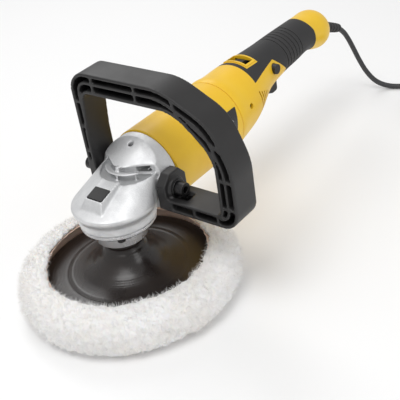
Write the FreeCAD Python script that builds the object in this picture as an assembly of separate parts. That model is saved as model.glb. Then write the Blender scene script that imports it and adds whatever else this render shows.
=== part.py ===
import FreeCAD, Part
import os
from math import atan2, cos, degrees, pi, radians, sin, sqrt, tan

# Rotary polisher, 180 mm class. Millimetres.
# Origin: spindle axis at the bonnet's working face. +Z up the spindle, +X back along the motor
# to the rear grip, +Y away from the lock-on button.

# Axes and joint planes
axis_z = 108.4              # motor axis above the working face
head_back = 50.0            # gear housing meets motor housing
motor_back = 157.0          # motor housing meets rear shells
gap = 0.3                   # between bodies that move past each other
fit = 0.03                  # radial running clearance of a shaft in its bearing

# Bonnet and backing pad
bonnet_r = 109.0
bonnet_flat_r = 95.0
bonnet_top = 42.0
lip_r = 78.0                # opening of the bonnet above the pad
hide = 1.5                  # skin that carries the wool
pad_r = 88.0
pad_under = 13.5            # underside of the pad
pad_hub_r = 19.0
pad_top = 60.0              # top of the pad's rubber hub

# Gear head
flange_r = 36.3
flange_low, flange_top = 80.0, 84.0
neck_r, neck_low = 25.2, 63.4
barrel_r, shoulder_r = 37.2, 41.0
shoulder_z = 103.0
head_r = 39.0
lip_x, lip_z, head_lip_r = 29.7, 123.0, 31.0     # vent opening's rim on top of the head
dome_slope, beak_x = 31.0, 12.0
side_flat = 37.0            # flats that carry the D-handle
vent_floor, vent_top = 118.3, 129.5

# Bevel pair
gear_teeth, pinion_teeth = 40, 10
teeth_in, teeth_out, pitch_r = 19.5, 26.0, 24.0
addendum, dedendum = 0.8, 1.1
lock_hole_r, lock_hole_at, lock_holes = 2.6, 16.0, 12

# Motor
motor_r, motor_wall = 40.0, 2.8
core_x = (80.0, 120.0)
commutator_r = 12.0
armature_r, stator_bore = 21.2, 21.9

# Rear shells: x, centre height, radius of each round section
shell_sections = [(157, 108.4, 40.0), (172, 110.4, 38.6), (186, 111.9, 37.2), (200, 114.4, 35.3),
                  (215, 118.0, 31.6), (230, 122.3, 27.6), (246, 125.0, 24.8), (262, 126.4, 23.4),
                  (282, 127.8, 22.4), (305, 128.5, 21.6), (335, 128.9, 20.8), (348, 126.8, 22.4),
                  (358, 125.4, 23.6), (367, 124.4, 22.0), (374, 123.6, 17.4), (378, 122.8, 11.0)]
shell_wall = 2.8
grip_depth = 1.6
cheek = [(199, 134), (246, 139), (270, 118), (272, 90)]   # grip's lower edge, side view
cap_edge = [(341, 90), (339, 113), (336, 137), (325, 160)]
trigger_pivot = (228.0, 106.0)
lock_on_at = (243.0, 130.0)
dial_at, dial_r = (214.75, 136.0), 12.2
dial_x, dial_half, dial_rim = (206.0, 223.5), 14.8, 2.2      # frame round the dial's window

pocket_deep = 22.0

# D-handle: x of front and back faces, outline corners (y, z, radius)
handle_x = (19.0, 49.0)
handle_outer = [(46, 93, 4), (46, 216.5, 20), (-62, 216.5, 60), (-110, 191.5, 45), (-127, 150.5, 60),
                (-127, 90.5, 18), (-37.3, 90.5, 1)]
handle_inner = [(-37.3, 103, 1), (-109, 103, 6), (-109, 162.5, 40), (-72, 196.5, 40), (32.5, 196.5, 9),
                (37.3, 150, 60), (37.3, 93, 3)]
bolt_at = (33.0, 109.5)     # x, z of the two handle bolts
bolt_r, bolt_tip = 4.0, 27.0

# Cord
cord_d = 6.5
relief_start, relief_end = (371.0, 0.0, 124.4), (424.5, 0.0, 101.0)
cord_route = [(424.5, 0, 101), (434.5, -1, 93.5), (442.5, -3.5, 81), (449, -7, 65), (455.5, -11.5, 46),
              (462, -18, 27), (469, -28, 11), (477, -43, 3.3), (485, -62, 3.3), (491, -84, 3.3),
              (495, -106, 3.3), (497.4, -126, 3.3), (497.6, -142, 3.3)]
coil_at, coil_r = (450.0, -150.0), 38.0
coil_wide, coil_high = 26.0, 19.5
tie_angle = 195.0
plug_at, plug_z = (432.0, -188.0), 20.0      # the plug's shoulder line; its pins point along -X

V = FreeCAD.Vector
X, Y, Z = V(1, 0, 0), V(0, 1, 0), V(0, 0, 1)


def block(x0, x1, y0, y1, z0, z1):
    return Part.makeBox(x1 - x0, y1 - y0, z1 - z0, V(x0, y0, z0))


def rod(radius, start, end):
    way = V(*end) - V(*start)
    return Part.makeCylinder(radius, way.Length, V(*start), way)


def tube(outer, inner, start, end):
    return rod(outer, start, end).cut(rod(inner, start, end))


def face(points):
    corners = [V(*p) for p in points]
    return Part.Face(Part.makePolygon(corners + corners[:1]))


def turned_z(profile, angle=360):
    """Solid turned about the spindle axis from (radius, height) points."""
    return face([(r, 0, z) for r, z in profile]).revolve(V(0, 0, 0), Z, angle)


def turned_x(profile, centre=axis_z):
    """Solid turned about a line along X from (x, radius) points."""
    return face([(x, 0, centre + r) for x, r in profile]).revolve(V(0, 0, centre), X, 360)


def prism_y(points, y0, y1):
    """Plate across Y from (x, z) points."""
    return face([(x, y0, z) for x, z in points]).extrude(V(0, y1 - y0, 0))


def prism_z(points, z0, z1):
    return face([(x, y, z0) for x, y in points]).extrude(V(0, 0, z1 - z0))


def both_sides(shape):
    return [shape, shape.mirror(V(0, 0, 0), Y)]


def joined(shapes):
    return shapes[0].fuse(shapes[1:]).removeSplitter()


def rounded_edges(points):
    """Edges through (u, v, radius) corners in order, each corner rounded by its own arc."""
    count = len(points)
    arcs = []
    for i in range(count):
        here, radius = V(*points[i][:2], 0), points[i][2]
        back = V(*points[i - 1][:2], 0) - here
        ahead = V(*points[(i + 1) % count][:2], 0) - here
        back.normalize()
        ahead.normalize()
        half = back.getAngle(ahead) / 2
        reach = radius / tan(half)
        middle = back + ahead
        middle.normalize()
        arcs.append((here + back * reach, here + middle * (radius / sin(half) - radius),
                     here + ahead * reach))
    edges = []
    for i in range(count):
        start, mid, end = arcs[i]
        edges.append(Part.Arc(start, mid, end).toShape())
        following = arcs[(i + 1) % count][0]
        if (following - end).Length > 1e-6:
            edges.append(Part.makeLine(end, following))
    return edges


def rounded_face(points):
    return Part.Face(Part.Wire(rounded_edges(points)))


def into_yz(flat, x0, x1):
    """Flat (y, z) face stood up across the tool at x0 and given thickness to x1."""
    flat = flat.copy()
    flat.transformShape(FreeCAD.Matrix(0, 0, 1, x0, 1, 0, 0, 0, 0, 1, 0, 0, 0, 0, 0, 1))
    return flat.extrude(V(x1 - x0, 0, 0))


def socket_screw(head_at, into, shank_r, length, head_r, head_h):
    """Socket head screw; head_at is the seat under the head, into the way it is driven."""
    seat, way = V(*head_at), V(*into)
    way.normalize()
    shank = Part.makeCylinder(shank_r, length, seat, way)
    head = Part.makeCylinder(head_r, head_h, seat, way * -1)
    socket = Part.makeCylinder(head_r * 0.52, head_h * 0.6, seat - way * (head_h * 0.4), way * -1)
    return shank.fuse(head).cut(socket)


def bearing(bore, outer, start, end):
    """Ball bearing between two points on its axis, with its shields set back."""
    ring = tube(outer, bore, start, end)
    way = V(*end) - V(*start)
    way.normalize()
    track = (bore + (outer - bore) * 0.28, bore + (outer - bore) * 0.74)
    for point, side in ((V(*start), 1), (V(*end), -1)):
        groove = Part.makeCylinder(track[1], 0.6, point, way * side)
        ring = ring.cut(groove.cut(Part.makeCylinder(track[0], 0.6, point, way * side)))
    return ring


# ---------------------------------------------------------------- pad and bonnet

def backing_pad():
    rubber = turned_z([(0, pad_under), (pad_r - 5, pad_under), (pad_r - 1.6, 15.5), (pad_r - 1, 18),
                       (pad_r - 1, 22), (pad_r - 4, 25), (60, 27.4), (57, 28.6), (53, 28.9), (44, 31), (34, 36),
                       (26, 43), (21.5, 50), (pad_hub_r, 52), (pad_hub_r, 54), (17.6, 55),
                       (pad_hub_r, 56), (pad_hub_r, pad_top - 1), (18, pad_top), (0, pad_top)])
    return rubber.cut(pad_insert()).cut(rod(7.0, (0, 0, pad_under), (0, 0, pad_top)))


def pad_insert():
    return turned_z([(7, 34), (30, 34), (30, 36.5), (12, 37.5), (12, pad_top), (7, pad_top)])


def hide_profile(offset):
    """Half section of the skin at a distance outside the pad, from the centre to the lip."""
    low = pad_under - offset
    side = pad_r + offset
    return [(0, low), (side - 4, low), (side - 0.8, low + 2), (side, low + 5), (side, 21 + offset),
            (side - 2.5, 29 + offset), (lip_r + offset, 38.5)]


def bonnet_hide():
    outer, inner = hide_profile(hide), hide_profile(0)
    return turned_z(outer + inner[::-1])


def wool_bonnet():
    inner = hide_profile(hide)
    outer = [(0, 0), (bonnet_flat_r, 0), (103, 3), (107.5, 9), (bonnet_r, 18), (108, 27), (103, 35),
             (95, 40.5), (88, bonnet_top), (82, 41.5)]
    return turned_z(outer + inner[::-1])


# ---------------------------------------------------------------- gear head

def head_roof():
    """Sloping cowl from the round shoulder up and back to the rim of the vent."""
    tilt = radians(7)
    low = Part.makeCircle(shoulder_r, V(0, 0, shoulder_z), Z)
    high = Part.makeCircle(head_lip_r, V(lip_x, 0, lip_z), V(-sin(tilt), 0, cos(tilt)))
    return Part.makeLoft([Part.Wire([low]), Part.Wire([high])], True, True)


def laid_back_top():
    """Broad cylinder, laid back, that the top of the head is cut to; it meets the beak's tip."""
    slope, across = radians(dome_slope), 58.0
    centre = V(beak_x, 0, vent_top) + V(sin(slope), 0, -cos(slope)) * across
    way = V(cos(slope), 0, sin(slope))
    return Part.makeCylinder(across, 160, centre - way * 80, way)


def beak_front():
    """Space in front of the beak's two flanks, above the vent's floor."""
    plan = [(-60, -60), (33, -60), (33, -45), (30, -31), (beak_x, -4), (beak_x - 1.5, 0), (beak_x, 4),
            (30, 31), (33, 45), (33, 60), (-60, 60)]
    return prism_z(plan, vent_floor, 170)


def head_vent():
    """Space of the air outlet under the beak."""
    space = rod(head_lip_r - 1.5, (lip_x, 0, vent_floor), (lip_x, 0, vent_top))
    back_wall = prism_z([(20, 0), (33, -27), (80, -27), (80, 27), (33, 27)], vent_floor, vent_top)
    return space.cut(back_wall)


def vent_rib():
    """Curved guide rib across the vent, its three posts and the web that hangs it from the beak."""
    centre, r = 30, 21
    rib = tube(24, 18, (centre, 0, 124.4), (centre, 0, 126.2)).common(block(0, 32, -30, 30, 120, 130))
    posts = []
    for angle in (-52, 0, 52):
        x, y = centre - r * cos(radians(angle)), r * sin(radians(angle))
        posts.append(rod(1.1, (x, y, vent_floor - 1), (x, y, 125)))
    web = block(10.8, 22, -1.7, 1.7, 125, vent_top + 1)
    return [rib, web] + posts


def head_ducts():
    duct = block(18, head_back, 10.5, 23, 120.5, 128)
    return both_sides(duct)


def button_boss():
    foot = Part.makePolygon([V(*p) for p in ((-34, -15.5, 101), (12, -15.5, 101), (12, 15.5, 101),
                                             (-34, 15.5, 101), (-34, -15.5, 101))])
    top = Part.makePolygon([V(*p) for p in ((-26, -10, 116), (4, -10.6, 123.8), (4, 10.6, 123.8),
                                            (-26, 10, 116), (-26, -10, 116))])
    return Part.makeLoft([foot, top], True, True)


def head_outside():
    barrel = turned_z([(0, flange_top), (barrel_r - 0.8, flange_top), (barrel_r, flange_top + 0.8),
                       (barrel_r, 92.5), (38.2, 95), (40.4, 98.2), (shoulder_r, 100.5),
                       (shoulder_r, shoulder_z), (0, shoulder_z)])
    neck = turned_x([(8, 0), (8, 24), (16, 27), (22, 33), (29, 37.6), (35, head_r),
                     (head_back - 0.8, head_r), (head_back, head_r - 0.8), (head_back, 0)])
    below = prism_y([(-60, flange_top), (36.5, flange_top), (head_back, 67), (head_back + 5, 40),
                     (-60, 40)], -60, 60)
    neck = neck.cut([below, beak_front()])
    over = block(-60, 70, -60, 60, vent_floor + 4, 190).cut(laid_back_top())
    roof = head_roof().cut(block(head_back - 6, 90, -60, 60, 60, 170))
    return joined([barrel, roof, neck.cut(over), button_boss()])


def head_inside():
    """Gear chamber, pinion tunnel, bearing seats and the lock button's well."""
    chamber = turned_z([(0, flange_top), (27.2, flange_top), (27.2, 104), (25, 105.5), (0, 105.5)])
    tunnel = rod(8.2, (11, 0, axis_z), (42, 0, axis_z))
    seat = rod(14, (41, 0, axis_z), (head_back, 0, axis_z))
    bush_seat = rod(8, (0, 0, 105), (0, 0, 112.5))
    well = block(-24.2, -10.4, -9.2, 9.2, 106.8, 130)
    pin_hole = rod(2.5, (-lock_hole_at, 0, 104), (-lock_hole_at, 0, 108))
    return joined([chamber, tunnel, seat, bush_seat, well, pin_hole])


def gear_housing():
    housing = joined([head_outside().cut(head_vent())] + vent_rib())
    flats = both_sides(block(13.5, head_back + 1, side_flat, 60, flange_top - 20, 126))
    bolt_x, bolt_z = bolt_at
    bolt_holes = both_sides(rod(bolt_r, (bolt_x, bolt_tip - 1, bolt_z), (bolt_x, 60, bolt_z)))
    screw_holes = [rod(2.2, (38, y, z), (head_back, y, z)) for y, z in head_screw_places()]
    flange_holes = [rod(2.0, (x, y, flange_top), (x, y, 96)) for x, y in flange_screw_places()]
    top_hole = [rod(2.6, (35, 0, 136), (35, 0, 160)).fuse(rod(1.5, (35, 0, 130), (35, 0, 160)))]
    cuts = flats + bolt_holes + screw_holes + flange_holes + top_hole + head_ducts()
    return housing.cut(cuts).cut(head_inside())


def head_screw_places():
    return [(27.5, axis_z + 17), (-27.5, axis_z + 17), (25, axis_z - 20.5), (-25, axis_z - 20.5)]


def flange_screw_places():
    return [(32 * cos(radians(a)), 32 * sin(radians(a))) for a in (45, 135, 225, 315)]


def gear_housing_screws():
    """Four screws driven forward from inside the motor housing's front ring."""
    return [socket_screw((54, y, z), (-1, 0, 0), 2.2, 15.5, 3.6, 3.5) for y, z in head_screw_places()]


def flange_screws():
    return [socket_screw((x, y, flange_low), (0, 0, 1), 2.0, 15.5, 3.6, 3.4)
            for x, y in flange_screw_places()]


def top_screw():
    return socket_screw((35, 0, 136), (0, 0, -1), 1.5, 6, 2.6, 2.5)


def bearing_flange():
    ring = turned_z([(8.5, neck_low), (neck_r - 0.8, neck_low), (neck_r, neck_low + 0.8), (neck_r, 72),
                     (neck_r - 1, 73), (neck_r - 1, 75), (26.5, flange_low), (flange_r - 0.7, flange_low),
                     (flange_r, flange_low + 0.7), (flange_r, flange_top - 0.7),
                     (flange_r - 0.7, flange_top), (26.9, flange_top), (26.9, 86.5), (16, 86.5),
                     (16, 76), (12.5, 76), (12.5, 74), (8.5, 74)])
    holes = [rod(2.0, (x, y, flange_low - 1), (x, y, flange_top + 1)) for x, y in flange_screw_places()]
    return ring.cut(holes)


def lock_button():
    """Slide button with its slanting top, and the pin that drops into the crown gear."""
    top = prism_y([(-23.9, 112.6), (-23.9, 116.9), (-10.7, 120.5), (-10.7, 112.6)], -8.9, 8.9)
    return top.cut(rod(2.2, (-lock_hole_at, 0, 112), (-lock_hole_at, 0, 115.5)))


def lock_pin():
    return rod(2.2, (-lock_hole_at, 0, 102), (-lock_hole_at, 0, 115.5))


def lock_spring():
    turns = Part.makeHelix(1.2, 4.8, 3.2)
    wire = Part.Wire([Part.makeCircle(0.4, V(3.2, 0, 0), V(0, 1, 0.065))])
    spring = Part.Wire(turns).makePipeShell([wire], True, True)
    spring.translate(V(-lock_hole_at, 0, 107.3))
    return spring


# ---------------------------------------------------------------- bevel pair and spindle

cone = pinion_teeth / gear_teeth            # tangent of the pinion's pitch angle


def wedge(near, far):
    """Closed solid between two four-cornered ends."""
    faces = [Part.Face(Part.makePolygon([V(*p) for p in end] + [V(*end[0])])) for end in (near, far)]
    for i in range(4):
        j = (i + 1) % 4
        side = [V(*near[i]), V(*near[j]), V(*far[j]), V(*far[i]), V(*near[i])]
        faces.append(Part.Face(Part.makePolygon(side)))
    return Part.Solid(Part.Shell(faces))


def tooth_section(r, height, tip, root):
    """Corners (sideways, above pitch line) of a tooth at distance r from the cone's apex."""
    k = r / pitch_r
    return [(-root * k, -height * k), (root * k, -height * k), (tip * k, addendum * k),
            (-tip * k, addendum * k)]


def crown_gear():
    deep = dedendum + 0.5
    low = 93.0
    body = turned_z([(6, 86.6), (10, 86.6), (10, 92), (teeth_in, low), (teeth_out, low),
                     (teeth_out, axis_z - (cone + dedendum / pitch_r) * teeth_out),
                     (teeth_in, axis_z - (cone + dedendum / pitch_r) * teeth_in),
                     (teeth_in, 101), (12.5, 100.5), (11.5, 101.5), (6, 101.5)])
    ends = []
    for r in (teeth_in, teeth_out):
        ends.append([(r, side, axis_z - cone * r + up) for side, up in tooth_section(r, deep, 0.4, 1.1)])
    tooth = wedge(*ends)
    pitch = 360 / gear_teeth
    teeth = []
    for i in range(gear_teeth):
        copy = tooth.copy()
        copy.rotate(V(0, 0, 0), Z, (i + 0.5) * pitch)
        teeth.append(copy)
    holes = [rod(lock_hole_r, (lock_hole_at * cos(a), lock_hole_at * sin(a), 92),
                 (lock_hole_at * cos(a), lock_hole_at * sin(a), 103))
             for a in (2 * pi * i / lock_holes for i in range(lock_holes))]
    return body.fuse(teeth).cut(holes)


def pinion_gear():
    start, end = teeth_in, teeth_out
    root = cone - dedendum / pitch_r
    body = turned_x([(start, 3.2), (start, start * root), (end, end * root), (end + 3, end * root),
                     (end + 3, 3.2)])
    ends = []
    for x in (start, end):
        ends.append([(x, side, axis_z - cone * x - up)
                     for side, up in tooth_section(x, dedendum + 0.5, 0.35, 1.1)])
    tooth = wedge(*ends)
    teeth = []
    for i in range(pinion_teeth):
        copy = tooth.copy()
        copy.rotate(V(0, 0, axis_z), X, i * 360 / pinion_teeth)
        teeth.append(copy)
    return body.fuse(teeth).cut(rod(3.2, (start, 0, axis_z), (end + 3, 0, axis_z)))


def spindle():
    bar = turned_z([(0, 40), (6.4, 40), (7 - fit, 41), (7 - fit, pad_top), (11, pad_top), (11, 62.4),
                    (8, 62.9), (8, 75.4), (6, 75.9), (6, 101.5), (5, 101.5), (5, 111.5), (4.5, 112), (0, 112)])
    flats = both_sides(block(-12, 12, 9.5, 12, pad_top, 62.4))
    return bar.cut(flats)


def gear_nut():
    nut = turned_z([(5, 101.5), (9, 101.5), (9, 104), (8.5, 104.5), (5, 104.5)])
    return nut.cut(both_sides(block(-1.2, 1.2, 7.6, 10, 101, 105)))


# ---------------------------------------------------------------- motor

def sector(r_in, r_out, x0, x1, start, end):
    """Part of a ring about the motor axis; angles in degrees from +Z towards -Y."""
    flat = face([(x0, 0, axis_z + r_in), (x1, 0, axis_z + r_in), (x1, 0, axis_z + r_out),
                 (x0, 0, axis_z + r_out)])
    flat.rotate(V(0, 0, axis_z), X, start)
    return flat.revolve(V(0, 0, axis_z), X, end - start)


def on_axis(x):
    return (x, 0, axis_z)


def around(radius, angle):
    return radius * cos(radians(angle)), axis_z + radius * sin(radians(angle))


def motor_housing():
    inner = motor_r - motor_wall
    body = turned_x([(head_back, 26), (head_back, motor_r - 1), (head_back + 1, motor_r),
                     (motor_back - 0.8, motor_r), (motor_back, motor_r - 0.8), (motor_back, inner),
                     (150, inner), (150, 14.5), (154, 14.5), (154, 8), (152.8, 8), (152.8, 11),
                     (146, 11), (146, inner), (54, inner), (54, 26)])
    holes = [rod(2.2, (49, y, z), (55, y, z)) for y, z in head_screw_places()]
    windows = []
    for angle in (45, 135, 225, 315):
        y, z = around(25.5, angle)
        windows.append(rod(8.6, (145, y, z), (151, y, z)))
    ducts = [block(49, 55, y0, y0 + 12, 120.5, 128) for y0 in (10.8, -22.8)]
    return body.cut(holes + windows + ducts)


def stator_core():
    core = tube(motor_r - motor_wall, stator_bore, on_axis(core_x[0] - 2), on_axis(core_x[1] + 2))
    slots = [sector(stator_bore - 1, 33.4, core_x[0] - 3, core_x[1] + 3, a, a + 80) for a in (50, 230)]
    return core.cut(slots)


def field_windings():
    front, back = core_x[0] - 7, core_x[1] + 7
    coils = []
    for middle in (0, 180):
        sides = [sector(25, 33, front, back, middle + a, middle + a + 13) for a in (53, -66)]
        heads = [sector(25, 33, front, core_x[0] - 2, middle - 66, middle + 66),
                 sector(25, 33, core_x[1] + 2, back, middle - 66, middle + 66)]
        coils.append(joined(sides + heads))
    return coils


def air_baffle():
    return turned_x([(58, 37.2), (72, 37.2), (72, 26), (70.8, 26), (70.8, 34), (58, 34)])


def cooling_fan():
    disc = turned_x([(60, 6), (60, 10), (68, 12), (68, 32.6), (69.6, 32.6), (69.6, 6)])
    blades = []
    for i in range(11):
        blade = block(61, 68, -0.8, 0.8, axis_z + 15, axis_z + 32.4)
        blade.rotate(V(64, 0, axis_z + 15), X, 24)
        blade.rotate(V(0, 0, axis_z), X, i * 360 / 11)
        blades.append(blade)
    return disc.fuse(blades)


def armature_shaft():
    return turned_x([(15, 0), (15, 3.2), (29, 3.2), (29, 6 - fit), (142.5, 6 - fit), (145.4, 4 - fit),
                     (152.5, 4 - fit), (152.5, 0)])


def pinion_nut():
    return tube(4.2, 3.2, on_axis(16), on_axis(teeth_in))


def armature_core():
    core = tube(armature_r, 6 - fit, on_axis(core_x[0]), on_axis(core_x[1]))
    slots = []
    for i in range(12):
        y, z = around(17.5, 30 * i)
        slots.append(rod(2.2, (core_x[0] - 1, y, z), (core_x[1] + 1, y, z)))
        y2, z2 = around(21, 30 * i)
        mouth = block(core_x[0] - 1, core_x[1] + 1, -0.8, 0.8, axis_z + 17.5, axis_z + 22)
        mouth.rotate(V(0, 0, axis_z), X, degrees(atan2(-y2, z2 - axis_z)))
        slots.append(mouth)
    return core.cut(slots)


def armature_windings():
    heads = [turned_x([(73.5, 6 - fit), (73.5, 14), (76, 18.5), (core_x[0], 20), (core_x[0], 6 - fit)]),
             turned_x([(core_x[1], 6 - fit), (core_x[1], 20), (125, 18), (128.5, 13), (128.5, 6 - fit)])]
    bars = []
    for i in range(12):
        y, z = around(17.5, 30 * i)
        bars.append(rod(2.1, (core_x[0] - 2, y, z), (core_x[1] + 2, y, z)))
    return heads[0].fuse([heads[1]] + bars)


def commutator():
    drum = tube(commutator_r, 6 - fit, on_axis(129.5), on_axis(142))
    slots = []
    for i in range(24):
        slot = block(129, 140.5, -0.25, 0.25, axis_z + commutator_r - 1.2, axis_z + commutator_r + 1)
        slot.rotate(V(0, 0, axis_z), X, 15 * i)
        slots.append(slot)
    return drum.cut(slots)


def brush_holders():
    shell = block(130.5, 141, 15, 33, axis_z - 6, axis_z + 6)
    plate = block(141, 146, 17, 31, axis_z - 8, axis_z + 8)
    return both_sides(shell.fuse(plate).cut(block(132, 139.6, 12, 32, axis_z - 4.2, axis_z + 4.2)))


def carbon_brushes():
    return both_sides(block(132.2, 139.4, commutator_r + gap, 26, axis_z - 4, axis_z + 4))


def nameplate(side):
    plate = tube(motor_r + 0.5, motor_r, on_axis(84), on_axis(155))
    outline = [(95, 109.5), (138, 109.5), (145, 107.5), (153, 130), (86, 130), (88, 122)]
    low, high = (0, 60) if side > 0 else (-60, 0)
    return plate.common(prism_y(outline, low, high))


# ---------------------------------------------------------------- rear shells and controls

def shell_loft(inset, last=None):
    """Rear body outline drawn in by a distance; last drops that many end sections."""
    wires = [Part.Wire([Part.makeCircle(radius - inset, V(x, 0, height), X)])
             for x, height, radius in shell_sections[:last]]
    return Part.makeLoft(wires, True, False)


def grip_region():
    """Side view of the rubber: over the top from the dial back, then all round to the end cap."""
    outline = [(199, 170), (199, 134)] + cheek[1:] + cap_edge
    area = prism_y(outline, -60, 60)
    return area.cut(dial_window(1.4))


def grip_grooves():
    cuts = []
    for i in range(6):
        x = 273 + 6.5 * i
        slab = block(x, x + 1.3, -60, 60, 90, 170)
        slab.rotate(V(x, 0, 128), Y, -12)
        cuts.append(slab)
    return cuts


screw_places = [(178, 119, -1), (194, 90, 1), (239, 141, 1), (302, 113, 1), (354, 111, 1)]


def posts(side):
    """Screw posts of one shell, from the split face to the wall."""
    pieces = []
    for x, z, _ in screw_places:
        pieces.append(rod(3.9, (x, 0, z), (x, side * 45, z)))
    return pieces


def post_bores():
    """Through bores, and the wide bore for each head from the side it is driven from."""
    cuts = []
    for x, z, head in screw_places:
        y_head = head * (seat_depth(x, z) - 6)
        cuts.append(rod(1.65, (x, -head * (seat_depth(x, z) - 9), z), (x, head * 50, z)))
        cuts.append(rod(2.9, (x, y_head, z), (x, head * 50, z)))
    return cuts


def shell_radius(x):
    """Centre height and radius of the rear body near x, taken between its sections."""
    for (xa, ha, ra), (xb, hb, rb) in zip(shell_sections, shell_sections[1:]):
        if xa <= x <= xb:
            t = (x - xa) / (xb - xa)
            return ha + (hb - ha) * t, ra + (rb - ra) * t


def seat_depth(x, z):
    height, radius = shell_radius(x)
    return sqrt(radius ** 2 - (z - height) ** 2)


def shell_screws():
    screws = []
    for x, z, head in screw_places:
        reach = seat_depth(x, z)
        screws.append(socket_screw((x, head * (reach - 6), z), (0, -head, 0), 1.6, 2 * reach - 16,
                                   2.85, 2.6))
    return screws


def dial_window(border):
    (x0, x1), half = dial_x, dial_half + border
    return block(x0 - border, x1 + border, -half, half, 120, 170)


def dial_frame():
    """Low rim that follows the body round the dial's window."""
    raised = shell_loft(-1.2).common(dial_window(0)).common(block(200, 230, -20, 20, 141, 160))
    return raised.cut(dial_window(-dial_rim))


def shell_openings():
    """Holes that both shells share: dial window, trigger slot, button hole, cord exit, air slots."""
    window = dial_window(-dial_rim).common(block(200, 230, -20, 20, 138, 160))
    trigger_slot = block(220.8, 275, -6.5, 6.5, 80, 113)
    button_x, button_z = lock_on_at
    button_hole = rod(5.8, (button_x, -40, button_z), (button_x, -10, button_z))
    exit_hole = rod(7.4, (367, 0, 126.1), (404, 0, 109.95))
    air = []
    for i in range(5):
        x = 201 + 4.4 * i
        slot = block(x, x + 1.8, 12, 60, 99, 126 - 2 * i)
        slot.rotate(V(x, 0, 110), Y, -14)
        air += both_sides(slot)
    reach = dial_r + 0.6
    wheel_room = block(dial_at[0] - reach, dial_at[0] + reach, -10.2, 10.2, 120, 146.6)
    pivot_x, pivot_z = trigger_pivot
    pin_hole = rod(1.5, (pivot_x, -10, pivot_z), (pivot_x, 10, pivot_z))
    return [window, wheel_room, trigger_slot, pin_hole, button_hole, exit_hole] + air


def shell_pair():
    outer, inner = shell_loft(0), shell_loft(shell_wall, -1)
    rubber_bed = outer.cut(shell_loft(grip_depth, -1)).common(grip_region())
    wall = outer.cut(inner)
    openings, bores = shell_openings(), post_bores()
    shells, grips = [], []
    for side in (1, -1):
        half = block(150, 400, 0, 60, 40, 170) if side > 0 else block(150, 400, -60, 0, 40, 170)
        inside = [p.common(half) for p in posts(side)] + shelf_pieces(side)
        inside = [p.common(outer) for p in inside]
        frame = dial_frame().common(half)
        skin = wall.common(half)
        shell = skin.fuse(inside + [frame]).cut(openings + bores).cut(rubber_bed)
        grip = rubber_bed.common(half).cut(openings + bores)
        grip = grip.cut([g.cut(shell_loft(0.8)) for g in grip_grooves()])
        shells.append(biggest(shell))
        grips.append(biggest(grip))
    return shells, grips


def shelf_pieces(side):
    """Ledges for the speed board and the cord clamp, and the bosses of the trigger pin."""
    low, high = (12.0, 45) if side > 0 else (-45, -12.0)
    board_ledge = block(206, 226, low, high, 116, 119)
    boss_in, boss_out = (7.2, 30) if side > 0 else (-30, -7.2)
    pivot_x, pivot_z = trigger_pivot
    boss = rod(3.4, (pivot_x, boss_in, pivot_z), (pivot_x, boss_out, pivot_z))
    clamp_ledge = block(336, 346, *((0, 30) if side > 0 else (-30, 0)), 109, 113)
    return [board_ledge, boss, clamp_ledge]


def biggest(shape):
    return max(shape.Solids, key=lambda solid: solid.Volume)


def trigger():
    outline = [(223, 99, 1.5), (233, 97.5, 10), (249, 93.5, 16), (262, 88.5, 8), (271.5, 89, 3),
               (271.5, 106.5, 1.5), (241, 106.5, 5), (232, 110, 3), (223, 110, 2)]
    flat = rounded_face(outline)
    flat.transformShape(FreeCAD.Matrix(1, 0, 0, 0, 0, 0, 1, -6, 0, 1, 0, 0, 0, 0, 0, 1))
    bore = rod(1.5 + fit, (trigger_pivot[0], -8, trigger_pivot[1]), (trigger_pivot[0], 8, trigger_pivot[1]))
    return flat.extrude(V(0, 12, 0)).cut(bore)


def trigger_pin():
    x, z = trigger_pivot
    return rod(1.5, (x, -10, z), (x, 10, z))


def switch_module():
    return block(228, 259, -8.5, 8.5, 115, 133)


def lock_on_button():
    x, z = lock_on_at
    head = rod(5.5, (x, -28.5, z), (x, -17, z))
    stem = rod(3.0, (x, -17, z), (x, -12, z))
    flange = rod(6.6, (x, -17.9, z), (x, -16.6, z))
    return joined([head, stem, flange])


def speed_dial():
    x, z = dial_at
    wheel = rod(dial_r, (x, -5, z), (x, 5, z)).fuse(rod(2, (x, -9.5, z), (x, 9.5, z)))
    knurls = []
    for i in range(24):
        a = radians(15 * i)
        centre = (x + dial_r * cos(a), z + dial_r * sin(a))
        knurls.append(rod(0.7, (centre[0], -6, centre[1]), (centre[0], 6, centre[1])))
    return wheel.cut(knurls)


def speed_control_board():
    x, z = dial_at
    board = block(x - 9, x + 9, -15, 15, 119, 121)
    ears = [block(x - 4, x + 4, y0, y0 + 2.2, 121, z + 4) for y0 in (6.5, -8.7)]
    return board.fuse(ears).cut(rod(2 + fit, (x, -12, z), (x, 12, z)))


def cord_clamp():
    return block(336.5, 345.5, -9, 9, 113, 127).cut(inner_lead())


def inner_lead():
    lead = rod(3.0, (259, 0, 125), relief_start)
    return lead.cut([switch_module(), strain_relief()])


def strain_relief():
    """Ribbed boot of the cord, set on the cord's own line out of the end cap."""
    length = (V(*relief_end) - V(*relief_start)).Length
    profile = [(0, 0), (7.2, 0), (7.2, 6.5)]
    ring_count = 6
    step = (length - 12) / ring_count
    for i in range(ring_count):
        at = 7.5 + step * i
        wide = 7.2 - 1.5 * i / ring_count
        profile += [(wide, at), (wide - 0.15, at + step * 0.62), (wide - 1.2, at + step * 0.7),
                    (wide - 1.2, at + step * 0.95)]
    profile += [(5.5, length - 3), (5.0, length), (0, length)]
    boot = face([(r, 0, z) for r, z in profile]).revolve(V(0, 0, 0), Z, 360)
    way = V(*relief_end) - V(*relief_start)
    boot.Placement = FreeCAD.Placement(V(*relief_start), FreeCAD.Rotation(Z, way))
    return boot


# ---------------------------------------------------------------- D-handle

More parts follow.
